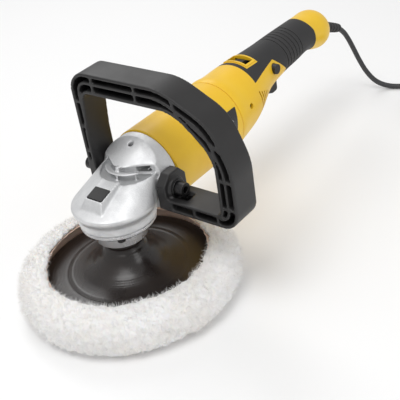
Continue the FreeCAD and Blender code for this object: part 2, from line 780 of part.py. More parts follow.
def pocket_walls():
    """Walls left between the pockets, square to the bar: a point on the bar and its direction."""
    places = [(18, 206, 90), (-32, 206, 90), (-73, 205, 70), (-104, 178, 38), (-118, 140, 0),
              (-118, 112, 0), (-104, 101, 90), (-78, 101, 90), (40, 186, 0), (41, 160, 0),
              (42, 134, 0)]
    walls = []
    for y, z, turn in places:
        wall = Part.makePlane(44, 2.6, V(y - 22, z - 1.3, 0))
        wall.rotate(V(y, z, 0), Z, turn)
        walls.append(wall)
    return walls


def handle_pockets():
    """Two rows of cored pockets round the bar, open to the front."""
    outline = rounded_face(handle_outer + handle_inner)
    enclosed = rounded_face(handle_outer)
    rail = enclosed.makeOffset2D(-8.0).cut(enclosed.makeOffset2D(-11.0))
    rail = rail.cut(Part.makePlane(150, 40, V(-107, 85, 0)))
    bracket = Part.makePlane(24, 60, V(-53, 80, 0)).fuse(Part.makePlane(30, 36, V(30, 88, 0)))
    rooms = outline.makeOffset2D(-3.2).cut([rail, bracket] + pocket_walls())
    return [into_yz(room, handle_x[0] - 1, handle_x[0] + pocket_deep) for room in rooms.Faces]


def d_handle():
    """Moulded loop with a bracket at the near side and a straight arm at the far side."""
    loop = into_yz(rounded_face(handle_outer + handle_inner), *handle_x).cut(handle_pockets())
    bolt_x, bolt_z = bolt_at
    plate = [(19, 98), (27, 88), (42, 88), (50, 97), (50, 116), (42, 125), (28, 125), (19, 116)]
    bracket = prism_y(plate, -48, -side_flat - gap)
    near_boss = rod(10, (bolt_x, -50.7, bolt_z), (bolt_x, -47, bolt_z))
    far_boss = rod(10, (bolt_x, 45, bolt_z), (bolt_x, 50.7, bolt_z))
    bore = rod(bolt_r + 0.2, (bolt_x, -60, bolt_z), (bolt_x, 60, bolt_z))
    key_room = rod(9.6, (bolt_x, -66, bolt_z), (bolt_x, -50.7, bolt_z))
    return joined([loop, bracket, near_boss, far_boss]).cut([bore, key_room])


def handle_bolts():
    x, z = bolt_at
    return [socket_screw((x, side * 52.3, z), (0, -side, 0), bolt_r, 52.3 - bolt_tip, 6.5, 8)
            for side in (1, -1)]


def handle_washers():
    x, z = bolt_at
    return both_sides(tube(8.5, bolt_r, (x, 50.7, z), (x, 52.3, z)))


# ---------------------------------------------------------------- cord

def cord_tube(route, radius):
    """Tube of straight runs joined by arcs that are as large as each pair of runs allows."""
    points = [V(*p) for p in route]
    edges, here = [], points[0]
    for i in range(1, len(points) - 1):
        back, ahead = points[i - 1] - points[i], points[i + 1] - points[i]
        reach = 0.45 * min(back.Length, ahead.Length)
        half = back.getAngle(ahead) / 2
        back.normalize()
        ahead.normalize()
        bend = reach * tan(half)
        middle = back + ahead
        middle.normalize()
        start, end = points[i] + back * reach, points[i] + ahead * reach
        top = points[i] + middle * (bend / sin(half) - bend)
        print("cord bend at", route[i], "radius", round(bend, 1), "turn", round(180 - degrees(2 * half), 1))
        edges += [Part.makeLine(here, start), Part.Arc(start, top, end).toShape()]
        here = end
    edges.append(Part.makeLine(here, points[-1]))
    path = Part.Wire(edges)
    ring = Part.Wire([Part.makeCircle(radius, points[0], points[1] - points[0])])
    solid = path.makePipeShell([ring], True, False, 2)
    print("cord tube length", round(path.Length, 1), "volume ratio",
          round(solid.Volume / (path.Length * pi * radius ** 2), 4), "valid", solid.isValid())
    return solid


def cord_coil():
    """Outer shape of the tied coil of spare cord: a ring with a rounded rectangular section."""
    x, y = coil_at
    inner, outer = coil_r - coil_wide / 2, coil_r + coil_wide / 2
    section = rounded_face([(inner, 0, 4), (outer, 0, 4), (outer, coil_high, 4), (inner, coil_high, 4)])
    section.rotate(V(0, 0, 0), X, 90)
    ring = section.revolve(V(0, 0, 0), Z, 360)
    ring.translate(V(x, y, 0))
    return ring


def coil_tie():
    """Plastic tie round the bundle, clear of the plug."""
    wide, high = coil_wide / 2, coil_high
    tie = block(coil_r - wide - 1, coil_r + wide + 1, -2, 2, 0, high + 1)
    tie = tie.cut(block(coil_r - wide - 0.1, coil_r + wide + 0.1, -2, 2, 0, high + 0.1))
    tie.rotate(V(0, 0, 0), Z, tie_angle)
    tie.translate(V(*coil_at, 0))
    return tie


def on_coil(shape):
    """Turns a piece drawn with its pins along +Y so that they point along -X, over the coil."""
    shape.rotate(V(0, 0, 0), Z, 90)
    shape.translate(V(*plug_at, plug_z))
    return shape


def mains_plug():
    """Flat moulded two-pin plug lying on the coil."""
    outline = [(-8, -30, 6), (8, -30, 6), (13, -4, 10), (17, 2, 3), (17, 10, 3), (-17, 10, 3), (-17, 2, 3),
               (-13, -4, 10)]
    return on_coil(rounded_face(outline).extrude(V(0, 0, 14)))


def plug_pins():
    return [on_coil(rod(2.4, (x, 10, 7), (x, 29, 7))) for x in (-9.5, 9.5)]


def main():
    shells, grips = shell_pair()
    parts = {
        "wool_bonnet": wool_bonnet(), "bonnet_hide": bonnet_hide(), "backing_pad": backing_pad(),
        "pad_insert": pad_insert(), "spindle": spindle(), "crown_gear": crown_gear(),
        "gear_nut": gear_nut(), "gear_housing": gear_housing(), "bearing_flange": bearing_flange(),
        "flange_screws": flange_screws(), "gear_housing_screws": gear_housing_screws(),
        "top_screw": top_screw(), "spindle_bearing": bearing(6 + fit, 16, (0, 0, 76), (0, 0, 86)),
        "spindle_bush": tube(8, 5 + fit, (0, 0, 105.5), (0, 0, 112.5)),
        "lock_button": lock_button(), "lock_pin": lock_pin(), "lock_spring": lock_spring(),
        "pinion_gear": pinion_gear(), "pinion_nut": pinion_nut(), "armature_shaft": armature_shaft(),
        "armature_core": armature_core(), "armature_windings": armature_windings(),
        "commutator": commutator(), "cooling_fan": cooling_fan(),
        "front_bearing": bearing(6, 14, on_axis(41.5), on_axis(49.5)),
        "rear_bearing": bearing(4, 11, on_axis(146), on_axis(152.8)),
        "motor_housing": motor_housing(), "stator_core": stator_core(),
        "field_windings": field_windings(), "air_baffle": air_baffle(),
        "brush_holders": brush_holders(), "carbon_brushes": carbon_brushes(),
        "nameplate_left": nameplate(1), "nameplate_right": nameplate(-1),
        "rear_shell_left": shells[0], "rear_shell_right": shells[1], "grip_left": grips[0],
        "grip_right": grips[1], "shell_screws": shell_screws(), "trigger": trigger(),
        "trigger_pin": trigger_pin(), "switch_module": switch_module(),
        "lock_on_button": lock_on_button(), "speed_dial": speed_dial(),
        "speed_control_board": speed_control_board(), "cord_clamp": cord_clamp(),
        "inner_lead": inner_lead(), "strain_relief": strain_relief(), "d_handle": d_handle(),
        "handle_bolts": handle_bolts(), "handle_washers": handle_washers(),
        "power_cord": cord_tube(cord_route, cord_d / 2).cut(strain_relief()), "cord_coil": cord_coil(),
        "coil_tie": coil_tie(), "mains_plug": mains_plug(), "plug_pins": plug_pins(),
    }
    os.makedirs("parts", exist_ok=True)
    for node, shape in parts.items():
        pieces = shape if isinstance(shape, list) else [shape]
        solids = [solid for piece in pieces for solid in piece.Solids]
        whole = solids[0] if len(solids) == 1 else Part.makeCompound(solids)
        whole.exportStep("parts/" + node + ".step")
        box = whole.BoundBox
        print(node, len(solids), "valid" if whole.isValid() else "INVALID", round(whole.Volume),
              [round(v, 1) for v in (box.XMin, box.XMax, box.YMin, box.YMax, box.ZMin, box.ZMax)])


main()
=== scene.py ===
import math

import bmesh
import bpy
import numpy as np
from mathutils import Matrix, Vector, noise


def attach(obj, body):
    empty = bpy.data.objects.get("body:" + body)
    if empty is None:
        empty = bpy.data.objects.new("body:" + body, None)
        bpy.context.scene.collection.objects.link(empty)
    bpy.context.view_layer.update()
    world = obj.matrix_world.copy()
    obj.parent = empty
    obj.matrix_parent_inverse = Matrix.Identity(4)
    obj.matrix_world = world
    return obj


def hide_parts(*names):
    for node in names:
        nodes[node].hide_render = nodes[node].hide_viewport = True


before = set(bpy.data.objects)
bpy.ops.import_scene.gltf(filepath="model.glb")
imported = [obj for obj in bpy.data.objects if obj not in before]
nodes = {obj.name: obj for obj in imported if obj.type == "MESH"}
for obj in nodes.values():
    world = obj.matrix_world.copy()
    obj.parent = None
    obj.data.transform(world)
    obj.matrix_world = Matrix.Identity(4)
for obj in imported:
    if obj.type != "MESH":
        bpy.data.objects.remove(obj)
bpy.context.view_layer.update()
scene = bpy.context.scene
print("frame loaded:", len(nodes), "CAD nodes")


# camera, on the left front quarter and a little above the tool
viewpoint = {
    "place": (-0.4318, -0.4910, 0.5059),
    "heading": 41.8,      # degrees, from +X towards +Y
    "down": 32.9,
    "roll": -9.3,
    "lens": 74.2,
}


def addCamera(values):
    head, down, roll = (math.radians(values[k]) for k in ("heading", "down", "roll"))
    look = Vector((math.cos(head) * math.cos(down), math.sin(head) * math.cos(down), -math.sin(down)))
    right = Vector((math.sin(head), -math.cos(head), 0))
    up = right.cross(look)
    across = math.cos(roll) * right + math.sin(roll) * up
    upright = -math.sin(roll) * right + math.cos(roll) * up
    data = bpy.data.cameras.new("viewCamera")
    data.lens, data.sensor_width = values["lens"], 36
    data.clip_start, data.clip_end = 0.01, 30
    camera = bpy.data.objects.new("viewCamera", data)
    scene.collection.objects.link(camera)
    turned = Matrix((across, upright, -look)).transposed().to_4x4()
    camera.matrix_world = Matrix.Translation(values["place"]) @ turned
    scene.camera = camera


addCamera(viewpoint)
print("camera placed")


# mains cord: listed points from the sleeve to the coil, then the coil's turns
cord = {
    "diameter": 0.0065,
    "length": 2.9,
    "exit": (0.4245, 0, 0.101),
    "route": [(0.4245, 0, 0.101), (0.4345, -0.001, 0.0935), (0.4425, -0.0035, 0.081), (0.449, -0.007, 0.065),
              (0.4555, -0.0115, 0.046), (0.462, -0.018, 0.027), (0.469, -0.028, 0.011),
              (0.477, -0.043, 0.0033), (0.485, -0.062, 0.0033), (0.491, -0.084, 0.0033),
              (0.495, -0.106, 0.0033), (0.4974, -0.126, 0.0033), (0.4976, -0.142, 0.0033)],
    "coilAt": (0.450, -0.150),
    "innerTurn": 0.02825,
    "layers": (0.0033, 0.0098, 0.0163),
    "pointsPerTurn": 24,
    "tail": [(0.4860, -0.1672, 0.0262), (0.4832, -0.1740, 0.0266), (0.4788, -0.1796, 0.0269),
             (0.4730, -0.1841, 0.0270), (0.4662, -0.1869, 0.0270), (0.4600, -0.1878, 0.0270)],
}


def eased(at, keys):
    # value at one place along the keys, with a soft start and end to every step
    for (low, first), (high, second) in zip(keys, keys[1:]):
        if at <= high:
            t = max(0, (at - low) / (high - low))
            return first + (second - first) * t * t * (3 - 2 * t)
    return keys[-1][1]


def coilPoints(values):
    # columns of the coil, counted outwards, and the height, against degrees travelled clockwise from +X
    d = values["diameter"]
    low, middle, top = values["layers"]
    column = [(0, 3), (260, 3), (380, 2), (620, 2), (740, 1), (980, 1), (1100, 0), (1540, 0), (1660, 1),
              (1900, 1), (2020, 2), (2260, 2), (2380, 3), (2860, 3), (2980, 2), (3220, 2), (3340, 1),
              (3580, 1), (3700, 0), (3860, 0), (4100, 3.2)]
    height = [(0, low), (1250, low), (1370, middle), (2580, middle), (2650, top), (3835, top),
              (3945, top + 0.0072), (4035, 0.0266)]
    step = 360 / values["pointsPerTurn"]
    points = []
    for k in range(int(3975 / step) + 1):
        way = k * step
        r = values["innerTurn"] + d * eased(way, column)
        r *= 1.004                                  # the line runs a little inside its points
        angle = math.radians(way)
        points.append((values["coilAt"][0] + r * math.cos(angle), values["coilAt"][1] - r * math.sin(angle),
                       eased(way, height)))
    return points


def layCord(values):
    points = values["route"] + coilPoints(values) + values["tail"]
    curve = bpy.data.curves.new("mainsCord", "CURVE")
    curve.dimensions = "3D"
    spline = curve.splines.new("NURBS")
    spline.points.add(len(points) - 1)
    for point, place in zip(spline.points, points):
        point.co = (*place, 1)
        point.radius = values["diameter"] / 2       # with a unit bevel, so that the line's box is true too
    spline.order_u = 3
    spline.use_endpoint_u = True
    spline.resolution_u = 5
    curve.bevel_depth = 1
    curve.bevel_resolution = 3
    curve.use_fill_caps = True
    piece = bpy.data.objects.new("mainsCord", curve)
    scene.collection.objects.link(piece)
    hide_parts("power_cord", "cord_coil")
    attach(piece, "housing")
    return piece


mainsCord = layCord(cord)
print("cord laid:", len(mainsCord.data.splines[0].points), "points")


# shared shader effects: each gives masks and heights, and the materials mix them
def groupTree(name, inputs, outputs):
    tree = bpy.data.node_groups.new(name, "ShaderNodeTree")
    for label, value in inputs:
        socket = tree.interface.new_socket(name=label, in_out="INPUT", socket_type="NodeSocketFloat")
        socket.default_value = value
    for label in outputs:
        tree.interface.new_socket(name=label, in_out="OUTPUT", socket_type="NodeSocketFloat")
    return tree, tree.nodes.new("NodeGroupInput"), tree.nodes.new("NodeGroupOutput")


def addMath(tree, operation, first, second, clamp=False):
    node = tree.nodes.new("ShaderNodeMath")
    node.operation, node.use_clamp = operation, clamp
    for socket, value in zip(node.inputs, (first, second)):
        if isinstance(value, (int, float)):
            socket.default_value = value
        elif value is not None:
            tree.links.new(value, socket)
    return node.outputs[0]


def addNoise(tree, coordinates, scale, detail=3, roughness=0.55, distortion=0.0):
    node = tree.nodes.new("ShaderNodeTexNoise")
    node.inputs["Detail"].default_value = detail
    node.inputs["Roughness"].default_value = roughness
    node.inputs["Distortion"].default_value = distortion
    tree.links.new(coordinates, node.inputs["Vector"])
    if isinstance(scale, (int, float)):
        node.inputs["Scale"].default_value = scale
    else:
        tree.links.new(scale, node.inputs["Scale"])
    return node.outputs["Fac"]


def makeGrain():
    # fine surface grain, and slow patches for colour and gloss
    tree, given, out = groupTree("surfaceGrain", [("Grain Scale", 900), ("Patch Scale", 25)],
                                 ["Height", "Patch", "Speck"])
    place = tree.nodes.new("ShaderNodeTexCoord").outputs["Object"]
    fine = addNoise(tree, place, given.outputs["Grain Scale"], 2, 0.6)
    coarse = addNoise(tree, place, addMath(tree, "MULTIPLY", given.outputs["Grain Scale"], 0.35), 2)
    cells = tree.nodes.new("ShaderNodeTexVoronoi")
    tree.links.new(place, cells.inputs["Vector"])
    tree.links.new(addMath(tree, "MULTIPLY", given.outputs["Grain Scale"], 0.8), cells.inputs["Scale"])
    speck = addMath(tree, "SUBTRACT", 1.0, addMath(tree, "MULTIPLY", cells.outputs["Distance"], 1.4), True)
    height = addMath(tree, "ADD", addMath(tree, "MULTIPLY", fine, 0.6),
                     addMath(tree, "MULTIPLY", coarse, 0.4))
    tree.links.new(height, out.inputs["Height"])
    tree.links.new(addNoise(tree, place, given.outputs["Patch Scale"], 4), out.inputs["Patch"])
    tree.links.new(speck, out.inputs["Speck"])
    return tree


def makeEdgeWearAndHighlight():
    # edges where the rounded normal leaves the true one, broken up by noise: the mask for a lighter edge tone
    # that is partly wear, partly painted highlight
    tree, given, out = groupTree("edgeWearAndHighlight", [("Width", 0.0008), ("Breakup", 180), ("Amount", 0.5)], ["Mask"])
    place = tree.nodes.new("ShaderNodeTexCoord").outputs["Object"]
    rounded = tree.nodes.new("ShaderNodeBevel")
    rounded.samples = 4
    tree.links.new(given.outputs["Width"], rounded.inputs["Radius"])
    true = tree.nodes.new("ShaderNodeNewGeometry")
    dot = tree.nodes.new("ShaderNodeVectorMath")
    dot.operation = "DOT_PRODUCT"
    tree.links.new(rounded.outputs["Normal"], dot.inputs[0])
    tree.links.new(true.outputs["Normal"], dot.inputs[1])
    edge = addMath(tree, "MULTIPLY", addMath(tree, "SUBTRACT", 1.0, dot.outputs["Value"]), 5.0, True)
    rough = addNoise(tree, place, given.outputs["Breakup"], 4, 0.65)
    broken = addMath(tree, "MULTIPLY", edge, addMath(tree, "ADD", rough, 0.35), True)
    tree.links.new(addMath(tree, "MULTIPLY", broken, given.outputs["Amount"], True), out.inputs["Mask"])
    return tree


def makeRings():
    # turning marks round an axis through the origin of the coordinates it is given
    tree, given, out = groupTree("turnedRings", [("Pitch", 2500.0)], ["Height"])
    place = tree.nodes.new("ShaderNodeTexCoord").outputs["Object"]
    split = tree.nodes.new("ShaderNodeSeparateXYZ")
    tree.links.new(place, split.inputs[0])
    radius = addMath(tree, "SQRT", addMath(tree, "ADD", addMath(tree, "POWER", split.outputs["X"], 2.0),
                                           addMath(tree, "POWER", split.outputs["Y"], 2.0)), None)
    along = addMath(tree, "ADD", radius, split.outputs["Z"])
    wave = addMath(tree, "SINE", addMath(tree, "MULTIPLY", along, given.outputs["Pitch"]), None)
    tree.links.new(addMath(tree, "MULTIPLY", wave, 0.5), out.inputs["Height"])
    return tree


surfaceGrain, edgeWearAndHighlight, turnedRings = makeGrain(), makeEdgeWearAndHighlight(), makeRings()


def addGroup(tree, group, **values):
    node = tree.nodes.new("ShaderNodeGroup")
    node.node_tree = group
    for label, value in values.items():
        node.inputs[label.replace("_", " ")].default_value = value
    return node.outputs


def mixColours(tree, mask, first, second):
    node = tree.nodes.new("ShaderNodeMix")
    node.data_type = "RGBA"
    tree.links.new(mask, node.inputs["Factor"])
    for socket, value in ((node.inputs["A"], first), (node.inputs["B"], second)):
        if isinstance(value, tuple):
            socket.default_value = (*value, 1)
        else:
            tree.links.new(value, socket)
    return node.outputs["Result"]


def spread(tree, value, low, high, fromLow=0.3, fromHigh=0.7):
    node = tree.nodes.new("ShaderNodeMapRange")
    tree.links.new(value, node.inputs["Value"])
    for label, number in (("From Min", fromLow), ("From Max", fromHigh), ("To Min", low), ("To Max", high)):
        node.inputs[label].default_value = number
    return node.outputs["Result"]


# finishes: two tones of colour, gloss from low to high, grain, and a lighter edge tone that is partly edge
# wear, partly painted highlight
finishes = {
    "yellowPlastic": {"tones": ((0.88, 0.56, 0.018), (0.82, 0.49, 0.012)), "rough": (0.34, 0.46),
                      "grain": 1500, "depth": 0.00004, "patch": 18,
                      "edge": (0.0007, 0.30, (0.93, 0.68, 0.15)), "coat": 0.12},
    "blackPlastic": {"tones": ((0.011, 0.0105, 0.011), (0.019, 0.018, 0.018)), "rough": (0.40, 0.56),
                     "grain": 1300, "depth": 0.00006, "patch": 22,
                     "edge": (0.0009, 0.55, (0.10, 0.098, 0.096))},
    "blackRubber": {"tones": ((0.017, 0.017, 0.018), (0.030, 0.029, 0.030)), "rough": (0.55, 0.72),
                    "grain": 1100, "depth": 0.0001, "patch": 30, "edge": (0.0008, 0.40, (0.08, 0.08, 0.08))},
    "castAluminium": {"tones": ((0.80, 0.805, 0.81), (0.64, 0.645, 0.655)), "rough": (0.42, 0.56),
                      "grain": 1150, "depth": 0.00045, "patch": 60, "metal": 0.75,
                      "speck": (0.86, 0.86, 0.87), "edge": (0.0011, 0.55, (0.93, 0.93, 0.94))},
    "machinedAluminium": {"tones": ((0.70, 0.70, 0.71), (0.60, 0.60, 0.61)), "rough": (0.22, 0.34),
                          "grain": 1600, "depth": 0.00003, "patch": 60, "metal": 1.0, "rings": 0.00008,
                          "edge": (0.0005, 0.4, (0.9, 0.9, 0.9))},
    "steelBright": {"tones": ((0.55, 0.55, 0.56), (0.45, 0.45, 0.46)), "rough": (0.24, 0.38), "grain": 1600,
                    "depth": 0.00003, "patch": 80, "metal": 1.0, "rings": 0.00005,
                    "edge": (0.0004, 0.5, (0.8, 0.8, 0.8))},
    "steelBlack": {"tones": ((0.030, 0.030, 0.033), (0.055, 0.053, 0.052)), "rough": (0.34, 0.48),
                   "grain": 1400, "depth": 0.00004, "patch": 90, "metal": 0.8,
                   "edge": (0.0004, 0.7, (0.30, 0.29, 0.28))},
    "bearingSteel": {"tones": ((0.72, 0.72, 0.74), (0.62, 0.62, 0.64)), "rough": (0.10, 0.2), "grain": 1500,
                     "depth": 0.00001, "patch": 70, "metal": 1.0, "edge": (0.0003, 0.3, (0.9, 0.9, 0.9))},
    "copperWire": {"tones": ((0.62, 0.24, 0.08), (0.45, 0.15, 0.05)), "rough": (0.25, 0.4), "grain": 900,
                   "depth": 0.0003, "patch": 120, "metal": 1.0, "edge": (0.0004, 0.3, (0.85, 0.5, 0.3))},
    "brassDrawn": {"tones": ((0.74, 0.57, 0.24), (0.62, 0.46, 0.18)), "rough": (0.22, 0.36), "grain": 1400,
                   "depth": 0.00003, "patch": 80, "metal": 1.0, "edge": (0.0004, 0.4, (0.9, 0.78, 0.45))},
    "carbonBlock": {"tones": ((0.02, 0.02, 0.022), (0.035, 0.035, 0.037)), "rough": (0.5, 0.7), "grain": 1800,
                    "depth": 0.00008, "patch": 90, "edge": (0.0004, 0.5, (0.10, 0.10, 0.10))},
    "paleNylon": {"tones": ((0.66, 0.62, 0.50), (0.58, 0.54, 0.42)), "rough": (0.4, 0.55), "grain": 1200,
                  "depth": 0.00004, "patch": 30, "edge": (0.0006, 0.3, (0.8, 0.78, 0.7))},
    "boardGreen": {"tones": ((0.020, 0.11, 0.045), (0.030, 0.14, 0.06)), "rough": (0.25, 0.4), "grain": 700,
                   "depth": 0.00005, "patch": 200, "edge": (0.0004, 0.3, (0.4, 0.45, 0.3))},
    "plateBlack": {"tones": ((0.010, 0.010, 0.011), (0.014, 0.014, 0.015)), "rough": (0.18, 0.28),
                   "grain": 1500, "depth": 0.00001, "patch": 40, "edge": (0.0003, 0.4, (0.2, 0.2, 0.2)),
                   "coat": 0.4},
    "cordSheath": {"tones": ((0.030, 0.030, 0.032), (0.045, 0.045, 0.047)), "rough": (0.45, 0.6),
                   "grain": 1100, "depth": 0.00006, "patch": 40, "edge": (0.0004, 0.2, (0.1, 0.1, 0.1))},
    "padRubber": {"tones": ((0.013, 0.0095, 0.0085), (0.026, 0.018, 0.015)), "rough": (0.22, 0.40),
                  "grain": 700, "depth": 0.00012, "patch": 16, "rings": 0.00005,
                  "edge": (0.0009, 0.4, (0.07, 0.055, 0.05)), "coat": 0.15},
}


def makeFinish(name, values):
    material = bpy.data.materials.new(name)
    material.use_nodes = True
    tree = material.node_tree
    shader = tree.nodes["Principled BSDF"]
    grain = addGroup(tree, surfaceGrain, Grain_Scale=values["grain"], Patch_Scale=values["patch"])
    width, amount, edgeTone = values["edge"]
    wearAndHighlight = addGroup(tree, edgeWearAndHighlight, Width=width, Amount=amount)
    colour = mixColours(tree, spread(tree, grain["Patch"], 0, 1), *values["tones"])
    if "speck" in values:
        colour = mixColours(tree, spread(tree, grain["Speck"], 0, 0.45, 0.45, 0.9), colour, values["speck"])
    # lighter tone on every edge: partly edge wear, partly a painted highlight on the rounded edges
    colour = mixColours(tree, wearAndHighlight["Mask"], colour, edgeTone)
    tree.links.new(colour, shader.inputs["Base Color"])
    tree.links.new(spread(tree, grain["Patch"], *values["rough"]), shader.inputs["Roughness"])
    shader.inputs["Metallic"].default_value = values.get("metal", 0)
    shader.inputs["Coat Weight"].default_value = values.get("coat", 0)
    shader.inputs["Coat Roughness"].default_value = 0.2
    bump = tree.nodes.new("ShaderNodeBump")
    bump.inputs["Distance"].default_value = values["depth"]
    bump.inputs["Strength"].default_value = 0.8
    tree.links.new(grain["Height"], bump.inputs["Height"])
    rounded = tree.nodes.new("ShaderNodeBevel")
    rounded.samples = 4
    rounded.inputs["Radius"].default_value = width * 0.8
    last = rounded.outputs["Normal"]
    if "rings" in values:
        rings = addGroup(tree, turnedRings, Pitch=5200.0)
        marks = tree.nodes.new("ShaderNodeBump")
        marks.inputs["Distance"].default_value = values["rings"]
        tree.links.new(rings["Height"], marks.inputs["Height"])
        tree.links.new(last, marks.inputs["Normal"])
        last = marks.outputs["Normal"]
    tree.links.new(last, bump.inputs["Normal"])
    tree.links.new(bump.outputs["Normal"], shader.inputs["Normal"])
    return material


made = {name: makeFinish(name, values) for name, values in finishes.items()}

# plain bright mark on the side plates: a ring and a bar, in place of lettering
plateMark = {"at": (0.1375, 0.1185), "ring": (0.0034, 0.0052), "bar": (0.100, 0.126, 0.0011), "barAt": 0.1185,
             "tone": (0.78, 0.78, 0.79)}


def addPlateMark(material, values):
    tree = material.node_tree
    shader = tree.nodes["Principled BSDF"]
    split = tree.nodes.new("ShaderNodeSeparateXYZ")
    tree.links.new(tree.nodes.new("ShaderNodeTexCoord").outputs["Object"], split.inputs[0])
    x = addMath(tree, "SUBTRACT", split.outputs["X"], values["at"][0])
    z = addMath(tree, "SUBTRACT", split.outputs["Z"], values["at"][1])
    squares = addMath(tree, "ADD", addMath(tree, "MULTIPLY", x, x), addMath(tree, "MULTIPLY", z, z))
    away = addMath(tree, "SQRT", squares, None)
    ring = addMath(tree, "MULTIPLY", addMath(tree, "GREATER_THAN", away, values["ring"][0]),
                   addMath(tree, "LESS_THAN", away, values["ring"][1]))
    start, end, half = values["bar"]
    along = addMath(tree, "MULTIPLY", addMath(tree, "GREATER_THAN", split.outputs["X"], start),
                    addMath(tree, "LESS_THAN", split.outputs["X"], end))
    low = addMath(tree, "ABSOLUTE", addMath(tree, "SUBTRACT", split.outputs["Z"], values["barAt"]), None)
    bar = addMath(tree, "MULTIPLY", along, addMath(tree, "LESS_THAN", low, half))
    mask = addMath(tree, "MAXIMUM", ring, bar)
    plain = shader.inputs["Base Color"].links[0].from_socket
    tree.links.new(mixColours(tree, mask, plain, values["tone"]), shader.inputs["Base Color"])


addPlateMark(made["plateBlack"], plateMark)


def makeStripes(name, first, second, axis, pitch, metal, rough):
    # stacked sheets or wound wire: thin stripes along one axis
    material = bpy.data.materials.new(name)
    material.use_nodes = True
    tree = material.node_tree
    shader = tree.nodes["Principled BSDF"]
    split = tree.nodes.new("ShaderNodeSeparateXYZ")
    tree.links.new(tree.nodes.new("ShaderNodeTexCoord").outputs["Object"], split.inputs[0])
    wave = addMath(tree, "SINE", addMath(tree, "MULTIPLY", split.outputs[axis], 2 * math.pi / pitch), None)
    mask = spread(tree, wave, 0, 1, -0.6, 0.8)
    tree.links.new(mixColours(tree, mask, first, second), shader.inputs["Base Color"])
    tree.links.new(spread(tree, wave, rough[0], rough[1], -1, 1), shader.inputs["Roughness"])
    shader.inputs["Metallic"].default_value = metal
    bump = tree.nodes.new("ShaderNodeBump")
    bump.inputs["Distance"].default_value = pitch * 0.2
    tree.links.new(wave, bump.inputs["Height"])
    tree.links.new(bump.outputs["Normal"], shader.inputs["Normal"])
    return material


made["laminations"] = makeStripes("laminations", (0.34, 0.33, 0.32), (0.20, 0.19, 0.185), "X", 0.001, 0.9,
                                  (0.3, 0.5))
made["segments"] = makeStripes("segments", (0.66, 0.33, 0.16), (0.30, 0.14, 0.07), "Y", 0.0026, 1.0,
                               (0.2, 0.4))


def makeWool():
    material = bpy.data.materials.new("woolPile")
    material.use_nodes = True
    tree = material.node_tree
    shader = tree.nodes["Principled BSDF"]
    place = tree.nodes.new("ShaderNodeTexCoord").outputs["Object"]
    locks = addNoise(tree, place, 130, 5, 0.62, 0.8)
    fibres = addNoise(tree, place, 900, 4, 0.7, 1.2)
    slow = addNoise(tree, place, 22, 2)
    colour = mixColours(tree, spread(tree, slow, 0, 1, 0.35, 0.65), (0.93, 0.905, 0.88), (0.97, 0.96, 0.95))
    # the darker tone goes where the lock noise is low, in the hollows of the lock bump: painted shade between
    # the locks
    colour = mixColours(tree, spread(tree, locks, 0.22, 0, 0.30, 0.46), colour, (0.80, 0.74, 0.70))
    tree.links.new(colour, shader.inputs["Base Color"])
    tree.links.new(spread(tree, fibres, 0.85, 1.0), shader.inputs["Roughness"])
    shader.inputs["Sheen Weight"].default_value = 0.35
    shader.inputs["Sheen Roughness"].default_value = 0.5
    shader.inputs["Subsurface Weight"].default_value = 0.4
    shader.inputs["Subsurface Radius"].default_value = (0.006, 0.005, 0.004)
    shader.inputs["Subsurface Scale"].default_value = 0.6
    shader.inputs["Specular IOR Level"].default_value = 0.15
    height = addMath(tree, "ADD", addMath(tree, "MULTIPLY", locks, 0.7),
                     addMath(tree, "MULTIPLY", fibres, 0.3))
    bump = tree.nodes.new("ShaderNodeBump")
    bump.inputs["Distance"].default_value = 0.0022
    bump.inputs["Strength"].default_value = 0.75
    tree.links.new(height, bump.inputs["Height"])
    tree.links.new(bump.outputs["Normal"], shader.inputs["Normal"])
    return material


def makeHide():
    material = bpy.data.materials.new("suedeHide")
    material.use_nodes = True
    tree = material.node_tree
    shader = tree.nodes["Principled BSDF"]
    grain = addGroup(tree, surfaceGrain, Grain_Scale=520, Patch_Scale=28)
    colour = mixColours(tree, spread(tree, grain["Patch"], 0, 1), (0.92, 0.69, 0.56), (0.84, 0.60, 0.48))
    colour = mixColours(tree, spread(tree, grain["Speck"], 0, 0.3, 0.4, 0.9), colour, (0.92, 0.74, 0.62))
    tree.links.new(colour, shader.inputs["Base Color"])
    tree.links.new(spread(tree, grain["Patch"], 0.75, 0.92), shader.inputs["Roughness"])
    shader.inputs["Sheen Weight"].default_value = 0.25
    bump = tree.nodes.new("ShaderNodeBump")
    bump.inputs["Distance"].default_value = 0.0003
    tree.links.new(grain["Height"], bump.inputs["Height"])
    tree.links.new(bump.outputs["Normal"], shader.inputs["Normal"])
    return material


made["woolPile"], made["suedeHide"] = makeWool(), makeHide()
print("materials made:", len(made))


